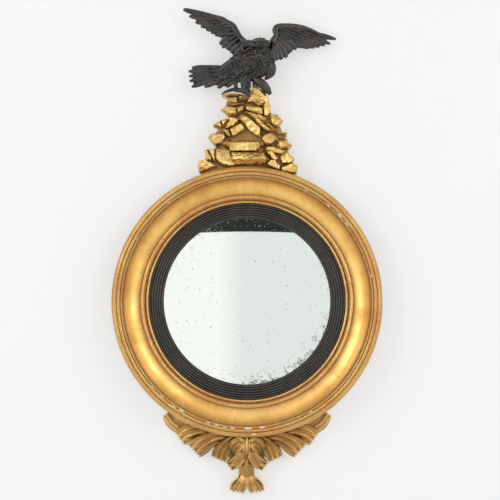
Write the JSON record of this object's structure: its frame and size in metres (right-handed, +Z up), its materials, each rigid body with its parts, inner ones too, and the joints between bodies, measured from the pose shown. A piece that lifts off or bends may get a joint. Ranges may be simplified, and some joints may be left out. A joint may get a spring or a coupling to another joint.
{
  "type": "convex wall mirror",
  "caption": "Round convex mirror in a deep gilded cavetto frame with a black reeded slip, a carved eagle on rockwork above and an acanthus apron below, hung by a ring",
  "frame": {"origin": "centre of the round frame, on the wall plane that its back rests against", "axes": "+X to the viewer's right, +Z up, +Y into the wall; the mirror faces -Y"},
  "size_m": [0.5514, 0.0761, 0.9989],
  "materials": {
    "bare_pine": "bare softwood, darkened with age",
    "water_gilding": "gilded gesso over pine, worn to a red ground",
    "ebonised_slip": "black, satin, rubbed on the crests",
    "silvered_glass": "aged mirror glass with spots",
    "tin_amalgam": "dull grey metal film",
    "rock_gilding": "gilded carving, red ground in the hollows",
    "ebonised_eagle": "dark bronze black with rubbed gilt",
    "leaf_gilding": "gilded carving, red ground in the hollows",
    "oak_dowel": "bare oak",
    "wrought_iron": "dark, lightly rusted",
    "hanger_brass": "tarnished"
  },
  "bodies": {
    "frame": {"carcase_ring": "bare_pine", "backboard_plank_left": "bare_pine", "backboard_plank_centre": "bare_pine", "backboard_plank_right": "bare_pine", "glazing_blocks": "bare_pine", "front_moulding_segment_1": "water_gilding", "front_moulding_segment_2": "water_gilding", "front_moulding_segment_3": "water_gilding", "front_moulding_segment_4": "water_gilding", "front_moulding_segment_5": "water_gilding", "front_moulding_segment_6": "water_gilding", "slip_segment_1": "ebonised_slip", "slip_segment_2": "ebonised_slip", "slip_segment_3": "ebonised_slip", "convex_mirror_plate": "silvered_glass", "tin_amalgam_backing": "tin_amalgam", "rockwork_lower_block": "rock_gilding", "rockwork_middle_block": "rock_gilding", "rockwork_upper_block": "rock_gilding", "eagle_body": "ebonised_eagle", "eagle_head": "ebonised_eagle", "eagle_tail": "ebonised_eagle", "eagle_left_wing": "ebonised_eagle", "eagle_right_wing": "ebonised_eagle", "eagle_left_leg": "ebonised_eagle", "eagle_right_leg": "ebonised_eagle", "apron_centre_leaf": "leaf_gilding", "apron_left_spray": "leaf_gilding", "apron_right_spray": "leaf_gilding", "crest_dowels": "oak_dowel", "rockwork_dowels": "oak_dowel", "eagle_wing_dowels": "oak_dowel", "apron_dowels": "oak_dowel", "crest_strap_left": "wrought_iron", "crest_strap_right": "wrought_iron", "apron_strap": "wrought_iron", "crest_strap_screws": "wrought_iron", "apron_strap_screws": "wrought_iron", "moulding_screws": "wrought_iron", "backboard_nails": "wrought_iron", "eagle_mounting_pin": "wrought_iron", "hanger_plate": "hanger_brass", "hanger_screws": "hanger_brass"},
    "ring": {"hanger_ring": "hanger_brass"}
  },
  "joints": [
    {"name": "hanger_ring_swing", "type": "hinge", "parent": "frame", "child": "ring", "pos_m": [0, -0.0098, 0.222], "axis": [1, 0, 0], "range_deg": [0, 180]}
  ]
}
